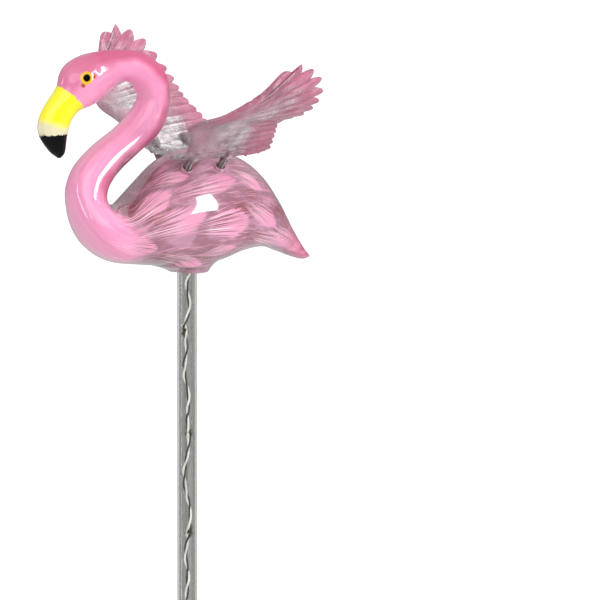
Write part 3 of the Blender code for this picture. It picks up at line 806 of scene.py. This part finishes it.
FEATHER_RELIEF = 0.0008
OVERLAP_SHARE = 0.55
GROOVE_SHARE = 0.45
GROOVE_WIDTH = 0.09
SHAFT_WIDTH = 0.05
SHAFT_HEIGHT = 0.00012
RELIEF_START = (0.16, 0.45)
ROOT_ROUGHNESS = 0.0006
ROOT_REACH = (16, 34)

# Colours of the wings, linear
# Clear tone of the wing, also the white of its painted glint streaks
WING_GLASS_AND_GLINT = (0.93, 0.91, 0.92)
WING_CLEAR = (0.80, 0.73, 0.76)
WING_MAUVE = (0.64, 0.52, 0.57)
WING_PINK = (0.80, 0.29, 0.44)
WING_ROSE = (0.64, 0.20, 0.32)
WING_ARM_COLOUR = (0.66, 0.34, 0.43)
WING_SHADE = (0.26, 0.14, 0.18)
WING_STREAK = (0.86, 0.74, 0.78)
WING_GROOVE = (0.40, 0.19, 0.26)

# Lumps along the root's lower edge: how many, the first one on each side, radii and offset in mm
ROOT_LUMPS = 16
FIRST_LUMP = {-1: 0, 1: 5}
LUMP_RADII = (0.6, 1.3)
LUMP_OFFSET = 2.0


def along(curve, distance):
    """The point and the direction at a distance along a 2-D polyline, carried on straight past its ends."""
    walked = 0.0
    for a, b in zip(curve, curve[1:]):
        length = (b - a).length
        if distance <= walked + length or b is curve[-1]:
            direction = (b - a) / length
            return a + direction * (distance - walked), direction
        walked += length


def feather_tips():
    """Outline of the feathered edge from the root's rear corner to the tip, as (notch, tip, notch, ...)."""
    tips = [Vector(tip) for tip in ARM_TIPS + HAND_TIPS]
    edge = [Vector(ROOT_CORNER)]
    for i, (tip, after) in enumerate(zip(tips, tips[1:])):
        middle = (tip + after) / 2
        step = (after - tip).normalized()
        inward = Vector((step.y, -step.x))
        if inward.dot(Vector(FAN_CENTRE) - middle) < 0:
            inward = -inward
        growth = clamp((i - len(ARM_TIPS)) / NOTCH_GROWTH)
        edge += [tip, middle + inward * (ARM_NOTCH + (HAND_NOTCH - ARM_NOTCH) * growth)]
    return edge + [tips[-1], Vector(OUTER_EDGE_END)]


def wing_columns():
    """Plan columns: leading edge, rear of its band, feather's end, share across it, share of the wing."""
    edge = feather_tips()
    feathers = len(edge) // 2
    leading = spline(LEADING_EDGE, 12)
    reach = sum((b - a).length for a, b in zip(leading, leading[1:]))
    total = feathers * FEATHER_COLUMNS
    columns = []
    for i in range(total + 1):
        share = i / total
        feather, step = divmod(i, FEATHER_COLUMNS)
        if feather == feathers:
            feather, step = feathers - 1, FEATHER_COLUMNS
        across = step / FEATHER_COLUMNS
        notch, tip, after = edge[2 * feather : 2 * feather + 3]
        bulge = tip - notch.lerp(after, 0.5)
        end = notch.lerp(after, across) + bulge * math.sin(math.pi * across) ** FEATHER_ROUNDNESS
        front, direction = along(leading, reach * share)
        square = Vector((-direction.y, direction.x))
        outward = (end - front).normalized()
        turn = clamp((share - WRIST_START) / (WRIST_END - WRIST_START))
        depth = ARM_DEPTH + (HAND_DEPTH - ARM_DEPTH) * share
        band = front + square.lerp(outward, turn).normalized() * depth
        columns.append((front, band, end, across, share))
    return columns


def wing_rows(front, band, end, across, share):
    """(plan point, half thickness, chord share, groove depth) from the leading edge to the feather's end."""
    rows = []
    for row in range(ARM_ROWS):
        t = row / ARM_ROWS
        half = (WING_EDGE + (WING_ARM - WING_EDGE) * math.sin(t * math.pi / 2) ** 0.9) / 2
        rows.append((front.lerp(band, t), half, 0.0, 0.0))
    overlap = across**1.5 - 1.1 * smooth(across, 0.86, 1.0) - 0.25
    groove = math.exp(-((min(across, 1 - across) / GROOVE_WIDTH) ** 2))
    shaft = math.exp(-(((across - 0.5) / SHAFT_WIDTH) ** 2))
    for row in range(BLADE_ROWS + 1):
        t = row / BLADE_ROWS
        deep_paint_and_shade = WING_BLADE + (WING_ARM - WING_BLADE) * (1 - t) ** 2
        deep_paint_and_shade = deep_paint_and_shade + (WING_EDGE - deep_paint_and_shade) * t**3
        fade = smooth(t, *RELIEF_START) * (1 - t**8)
        relief = FEATHER_RELIEF * OVERLAP_SHARE * overlap * fade
        relief -= FEATHER_RELIEF * GROOVE_SHARE * groove * fade
        relief += SHAFT_HEIGHT * shaft * fade
        rows.append((band.lerp(end, t), deep_paint_and_shade / 2 + relief, t, groove * fade))
    return rows


def root_lumps(wing_at, first):
    """Drops of clear plastic that run along the root's lower edge, as closed bmeshes."""
    chain = spline((LEADING_EDGE[0], (3.5, 0.0), (5.0, 14.0), ROOT_CORNER), 8)
    chance = random.Random(5)
    for i in range(ROOT_LUMPS):
        plan = chain[round(i * (len(chain) - 1) / (ROOT_LUMPS - 1))] + Vector((LUMP_OFFSET, 0))
        radius = chance.uniform(*LUMP_RADII)
        place = Matrix.Translation(wing_at(plan, chance.uniform(-0.4, 0.4) * radius * MM))
        stretch = (chance.uniform(0.9, 1.5), chance.uniform(0.7, 1.0), chance.uniform(0.8, 1.2), 1)
        if i < first:
            continue
        bm = bmesh.new()
        bmesh.ops.create_icosphere(bm, subdivisions=3, radius=radius * MM)
        bmesh.ops.transform(bm, matrix=place @ Matrix.Diagonal(stretch), verts=bm.verts)
        yield bm


def wing_mouths(springs):
    """The point midway between the two wing sockets' mouths, at x = 0, for each side."""
    mouths = {}
    for side in (-1, 1):
        reach = NUB_DEPTH - BORE_GAP + SPRING_FREE
        tops = [low + direction * reach for low, direction, _ in springs if low.y * side > 0]
        mouth = sum(tops, Vector()) / len(tops)
        mouth.x = 0
        mouths[side] = mouth
    return mouths


def build_wing(side, mouth, springs, material):
    arch = spline(WING_ARCH, 10)

    def wing_at(plan, height):
        place, direction = along(arch, plan.x)
        out = place.x * MM - direction.y * height
        up = place.y * MM + direction.x * height
        return mouth + Vector((plan.y * MM, side * out, up))

    bm = bmesh.new()
    sheets = ([], [])
    fields = []
    for front, band, end, across, share in wing_columns():
        columns = ([], [])
        for plan, half, chord, groove in wing_rows(front, band, end, across, share):
            lump = noise.noise(Vector((plan.x, plan.y, side)) * 0.30)
            lumpy = (1 - smooth(plan.x, *ROOT_REACH)) * ROOT_ROUGHNESS * lump
            for sign, column in zip((1, -1), columns):
                point = wing_at(plan, sign * (half + lumpy))
                column.append(bm.verts.new(point))
                fields.append((point, (share, chord, groove), (plan.x * MM, plan.y * MM, 0)))
        for sheet, column in zip(sheets, columns):
            sheet.append(column)
    tops, unders = sheets
    for near, far in zip(range(len(tops)), range(1, len(tops))):
        for row in range(len(tops[0]) - 1):
            for sheet in sheets:
                bm.faces.new((sheet[near][row], sheet[far][row], sheet[far][row + 1], sheet[near][row + 1]))
        for row in (0, -1):
            bm.faces.new((tops[near][row], tops[far][row], unders[far][row], unders[near][row]))
    for column in (0, -1):
        for row in range(len(tops[0]) - 1):
            top, under = tops[column], unders[column]
            bm.faces.new((top[row], top[row + 1], under[row + 1], under[row]))
    hand = "left" if side < 0 else "right"
    wing = add_piece(f"feathered_wing_{hand}", bm, None)
    bore = SPRING_OD / 2 + BORE_GAP
    wall = bore + SOCKET_WALL
    length = WING_SOCKET_DEPTH + WING_SOCKET_END
    for lump in root_lumps(wing_at, FIRST_LUMP[side]):
        cut(wing, lump, "UNION")
    for low, direction, _ in springs:
        if low.y * side < 0:
            continue
        centre = low + direction * (NUB_DEPTH - BORE_GAP + SPRING_FREE)
        place = axis_place(centre, direction)
        profile = ((wall - 0.0004, 0), (wall - 0.0001, 0.0001), (wall, 0.0004), (wall, length - 0.0022))
        profile += ((wall * 0.93, length - 0.0012), (wall * 0.75, length - 0.0004), (wall * 0.4, length))
        cut(wing, turned(profile, SOCKET_SIDES, place), "UNION")
        profile = ((bore, -SPRING_FREE), (bore, WING_SOCKET_DEPTH))
        cut(wing, turned(profile, SOCKET_SIDES, place), "DIFFERENCE")
    points, plans, spans = zip(*fields)
    finish_cut(wing, material, points, plan=plans, span=spans)
    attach(wing, "root")
    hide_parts(f"wing_{hand}")


def wing_plastic():
    paint = Shader("wing_plastic", Roughness=0.08, IOR=1.46)
    share, chord, groove = paint.parts(paint.field("plan"))
    span, depth = paint.parts(paint.field("span"))[:2]
    place = paint.place()
    cloud = paint.noise(place, 110.0, 3.0, 0.6)
    barbs = paint.strands((share, 130.0), (chord, 5.0), cloud, 1.0, 3.0, 0.6)
    glint_streaks = paint.strands((span, 45.0), (depth, 300.0), cloud, 1.0, 3.0, 0.6)
    pebbles = paint.noise(place, 650.0, 2.0, 0.6)
    clear = paint.mix(paint.step(cloud, 0.35, 0.65), WING_CLEAR, WING_MAUVE)
    root = paint.times(paint.step(span, 0.024, 0.010), paint.step(share, 0.45, 0.30))
    clear = paint.mix(root, clear, WING_GLASS_AND_GLINT)
    # Painted highlights and painted shade: white glint streaks along the span, dark shade streaks, and dark
    # shade in the pits of the pebbled root
    clear = paint.mix(paint.step(glint_streaks, 0.51, 0.60), clear, WING_GLASS_AND_GLINT, 0.90)
    clear = paint.mix(paint.step(glint_streaks, 0.46, 0.36), clear, WING_SHADE, 0.70)
    pits = paint.times(root, paint.step(pebbles, 0.46, 0.38))
    clear = paint.mix(pits, clear, WING_SHADE, 0.55)
    pink = paint.mix(paint.step(cloud, 0.35, 0.65), WING_PINK, WING_ROSE)
    wander = paint.add(paint.swing(cloud, 0.5), paint.swing(barbs, 0.5))
    lead = paint.times(paint.step(paint.add(chord, wander), 0.14, 0.0), paint.step(span, 0.010, 0.030))
    lead = paint.times(lead, paint.add(paint.times(paint.step(glint_streaks, 0.40, 0.60), -0.45), 1.0))
    ends = paint.step(paint.add(chord, wander), 0.50, 0.82)
    hand = paint.step(paint.add(share, wander), 0.52, 0.80)
    colour = paint.mix(lead, clear, WING_ARM_COLOUR)
    centre = paint.times(paint.step(chord, 0.10, 0.35), paint.step(chord, 0.85, 0.60))
    centre = paint.times(centre, paint.step(groove, 0.30, 0.05))
    hand = paint.times(hand, paint.add(paint.times(centre, -0.40), 1.0))
    stain = paint.math("MAXIMUM", ends, hand)
    colour = paint.mix(stain, colour, pink)
    tint = paint.math("MAXIMUM", stain, lead)
    paint.set("Transmission Weight", paint.add(paint.times(tint, -0.35), 0.92))
    colour = paint.mix(paint.step(barbs, 0.52, 0.66), colour, WING_STREAK, 0.45)
    colour = paint.mix(groove, colour, WING_GROOVE, 0.45)
    paint.set("Base Color", colour)
    pebbled = paint.times(pebbles, paint.add(paint.times(root, 1.6), 0.6))
    paint.bump(paint.add(barbs, paint.add(glint_streaks, pebbled)), 0.0005, 0.55)
    return paint.material


# Tube and its light string

DROP_OD = 0.0044
DROP_LENGTH = 0.0075
DROP_STEPS = 12
DROP_PITCH = 0.0505
FIRST_DROP_BELOW_BIRD = 0.0295
WIRE_RADIUS = 0.00048
WIRE_TWIST = 0.0155
WIRE_APART = 0.00052
WIRE_SWING = 0.0042
WIRE_REACH = 0.0019
WIRE_STEP = 0.0007


def build_tube(material):
    low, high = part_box("stake_tube")
    outer, inner = TUBE_OD / 2, TUBE_OD / 2 - TUBE_WALL
    rim = 0.00015
    profile = [(outer - rim, low.z), (outer, low.z + rim), (outer, high.z - rim), (outer - rim, high.z)]
    profile += [(inner + rim, high.z), (inner, high.z - rim), (inner, low.z + rim), (inner + rim, low.z)]
    bm = turned(profile + profile[:1], 128, capped=False)
    bmesh.ops.remove_doubles(bm, verts=bm.verts, dist=1e-6)
    add_piece("clear_tube", bm, material, "clear_tube", ["stake_tube"])


def clear_plastic():
    paint = Shader("clear_plastic", Roughness=0.02, IOR=1.45, Transmission_Weight=1.0)
    x, y, z = paint.parts(paint.place())
    streaks = paint.strands((x, 500.0), (y, 500.0), paint.times(z, 9.0), 1.0)
    return paint.mottle(streaks, 0.35, 0.65, (0.54, 0.54, 0.53), (0.42, 0.42, 0.41))


def string_middle(height):
    """Where the twisted pair's middle wanders inside the tube."""
    wander = Vector((noise.noise(Vector((0, 3.1, height * 55))), noise.noise(Vector((7.7, 0, height * 55)))))
    wander *= WIRE_SWING
    wander *= min(1, WIRE_REACH / wander.length)
    return Vector((wander.x, wander.y, height))


def build_string(glowing_white, shaded_silver, lamp, chip):
    low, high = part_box("light_string")
    steps = round((high.z - low.z) / WIRE_STEP)
    pieces = []
    for half in (0, 1):
        points = []
        for i in range(steps + 1):
            height = low.z + (high.z - low.z) * i / steps
            loose = 1 + 0.5 * noise.noise(Vector((half * 5.0, 1.0, height * 90)))
            angle = 2 * math.pi * (height / WIRE_TWIST + half / 2)
            angle += 0.8 * noise.noise(Vector((0, 0, height * 70)))
            offset = Vector((math.cos(angle), math.sin(angle), 0)) * WIRE_APART * loose
            points.append(string_middle(height) + offset)
        pieces.append(tube_along(points, WIRE_RADIUS, 10))
    first = BIRD_HEIGHT - FIRST_DROP_BELOW_BIRD
    count = int((first - low.z) / DROP_PITCH)
    drops = [string_middle(first - DROP_PITCH * i) for i in range(count)]
    add_piece("twisted_wire_a", pieces[0], glowing_white, "light_wire", ["light_string"], 60)
    add_piece("twisted_wire_b", pieces[1], shaded_silver, "light_wire", (), 60)
    angles = [math.pi * k / DROP_STEPS for k in range(DROP_STEPS + 1)]
    ball = [(max(DROP_OD / 2 * math.sin(a), 1e-5), -DROP_LENGTH / 2 * math.cos(a)) for a in angles]
    for number, centre in enumerate(drops, 1):
        place = Matrix.Translation(centre)
        add_piece(f"lamp_drop_{number}", turned(ball, 32, place), lamp, "light_wire")
        block = bmesh.new()
        bmesh.ops.create_cube(block, size=1)
        bmesh.ops.scale(block, vec=(0.0016, 0.0013, 0.0022), verts=block.verts)
        bmesh.ops.bevel(block, geom=block.edges[:], offset=0.0002, segments=2, affect="EDGES")
        turn = Matrix.Rotation(1.1 * number, 4, "Z") @ Matrix.Rotation(0.25, 4, "X")
        bmesh.ops.transform(block, matrix=place @ turn, verts=block.verts)
        add_piece(f"lamp_chip_{number}", block, chip, "light_wire")


def wire_white_painted_glow():
    # Painted light: the wire is white and glows, though it is no lamp, so that it looks as bright as a
    # highlight on the wire
    paint = Shader("wire_white_painted_glow", Roughness=0.18, IOR=1.5, Coat_Weight=1.0, Emission_Strength=1.3)
    paint.set("Emission Color", (1.0, 0.98, 0.90))
    return paint.mottle(paint.noise(paint.place(), 600.0), 0.35, 0.7, (0.96, 0.96, 0.94), (0.74, 0.73, 0.69))


def wire_silver_painted_shade():
    # Painted shade: the second wire is near black so that the twisted pair shows dark shadows between its
    # bright turns
    paint = Shader("wire_silver_painted_shade", Metallic=1.0, Roughness=0.2)
    return paint.mottle(paint.noise(paint.place(), 600.0), 0.35, 0.7, (0.20, 0.19, 0.18), (0.05, 0.045, 0.04))


def lamp_resin():
    paint = Shader("lamp_resin", Roughness=0.05, IOR=1.45, Transmission_Weight=1.0)
    paint.set("Base Color", (0.96, 0.95, 0.92))
    return paint.material


def chip_copper():
    paint = Shader("chip_copper", Roughness=0.35)
    grain = paint.noise(paint.place(), 900.0)
    return paint.mottle(grain, 0.42, 0.58, (0.42, 0.13, 0.05), (0.03, 0.025, 0.02))


# Battery case and panel


def case_plastic():
    paint = Shader("case_plastic", Roughness=0.42, IOR=1.5)
    place = paint.place()
    cloud = paint.noise(place, 60.0, 3.0, 0.6)
    paint.bump(paint.noise(place, 2600.0, 2.0, 0.6), 0.0002, 0.4)
    return paint.mottle(cloud, 0.3, 0.7, (0.012, 0.012, 0.013), (0.022, 0.022, 0.024))


def solar_cell():
    paint = Shader("solar_cell", Roughness=0.12, IOR=1.5, Coat_Weight=0.6)
    place = paint.place()
    y = paint.parts(place)[1]
    cloud = paint.noise(place, 300.0, 3.0, 0.7)
    colour = paint.mix(paint.step(cloud, 0.35, 0.65), (0.010, 0.014, 0.050), (0.020, 0.030, 0.100))
    fingers = paint.math("ABSOLUTE", paint.add(paint.math("FRACT", paint.times(y, 500.0)), -0.5))
    bars = paint.math("ABSOLUTE", paint.add(paint.math("FRACT", paint.add(paint.times(y, 62.0), 0.5)), -0.5))
    colour = paint.mix(paint.step(fingers, 0.06, 0.02), colour, (0.35, 0.36, 0.40), 0.5)
    colour = paint.mix(paint.step(bars, 0.05, 0.04), colour, (0.55, 0.56, 0.58))
    paint.set("Base Color", colour)
    return paint.material


def give_material(node, material):
    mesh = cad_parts[node].data
    mesh.materials.clear()
    mesh.materials.append(material)


# Studio

FLOOR_RADIUS = 24.0
FLOOR_DROP = 0.0004
FLOOR_GLOW = 0.42

# Light of the surroundings from straight below (0) over the horizon (0.5) to straight above (1)
WORLD_LIGHT = ((0.0, 0.98), (0.40, 0.50), (0.48, 0.27), (0.56, 0.28), (0.80, 0.85), (1.0, 0.85))


def build_floor():
    bm = bmesh.new()
    bmesh.ops.create_circle(bm, cap_ends=True, segments=96, radius=FLOOR_RADIUS)
    floor = add_piece("floor", bm, None)
    floor.location.z = -FLOOR_DROP
    paint = Shader("floor_paper", Roughness=0.9, Emission_Strength=FLOOR_GLOW)
    paint.set("Emission Color", (1.0, 1.0, 1.0))
    grain = paint.noise(paint.place(), 30.0, 3.0, 0.5)
    paint.set("Base Color", paint.mix(grain, (0.93, 0.93, 0.93), (0.96, 0.96, 0.96)))
    floor.data.materials.append(paint.material)
    floor.visible_diffuse = False
    floor.visible_glossy = False


def build_world():
    world = bpy.data.worlds.new("studio")
    bpy.context.scene.world = world
    world.use_nodes = True
    tree = world.node_tree
    direction = tree.nodes.new("ShaderNodeTexCoord")
    split = tree.nodes.new("ShaderNodeSeparateXYZ")
    height = tree.nodes.new("ShaderNodeMapRange")
    height.inputs["From Min"].default_value = -1
    ramp = tree.nodes.new("ShaderNodeValToRGB")
    elements = ramp.color_ramp.elements
    while len(elements) < len(WORLD_LIGHT):
        elements.new(1)
    for element, (place, light) in zip(elements, WORLD_LIGHT):
        element.position = place
        element.color = (light, light, light, 1)
    tree.links.new(direction.outputs["Generated"], split.inputs[0])
    tree.links.new(split.outputs[2], height.inputs[0])
    tree.links.new(height.outputs[0], ramp.inputs[0])
    tree.links.new(ramp.outputs[0], tree.nodes["Background"].inputs[0])


# Each light: name, degrees right of the camera, degrees up, distance, width, height, watts
LIGHTS = (
    ("softbox_right", 55.5, 12.5, 0.9, 0.155, 0.62, 4.9),
    ("softbox_left", -72, -2, 1.0, 0.10, 0.70, 1.6),
    ("softbox_low", -36, -4, 1.0, 0.05, 0.12, 0.25),
    ("softbox_front", -5, 20, 1.5, 1.2, 0.9, 5.4),
)


def build_lights():
    right, up, forward = camera_axes()
    centre = Vector((0, 0, BIRD_HEIGHT + 0.05))
    for name, turn, rise, distance, width, height, power in LIGHTS:
        data = bpy.data.lights.new(name, "AREA")
        data.shape = "RECTANGLE"
        data.size, data.size_y = width, height
        data.energy = power
        level = Vector((-forward.x, -forward.y, 0)).normalized()
        level.rotate(Matrix.Rotation(math.radians(turn), 3, "Z"))
        way = level * math.cos(math.radians(rise)) + Vector((0, 0, math.sin(math.radians(rise))))
        light = bpy.data.objects.new(name, data)
        light.location = centre + way * distance
        light.rotation_euler = (-way).to_track_quat("-Z", "Y").to_euler()
        bpy.context.collection.objects.link(light)


build_camera()
bird_skin = bird_surface()
spring_axes = [spring_axis(node) for node in spring_nodes()]
build_bird(bird_paint(bird_skin), bird_skin, spring_axes)
build_springs(spring_chrome())
wing_material = wing_plastic()
for wing_side, wing_mouth in wing_mouths(spring_axes).items():
    build_wing(wing_side, wing_mouth, spring_axes, wing_material)
build_tube(clear_plastic())
build_string(wire_white_painted_glow(), wire_silver_painted_shade(), lamp_resin(), chip_copper())
give_material("battery_case", case_plastic())
give_material("solar_panel", solar_cell())
build_floor()
build_world()
build_lights()
bpy.context.scene.view_settings.view_transform = "Standard"
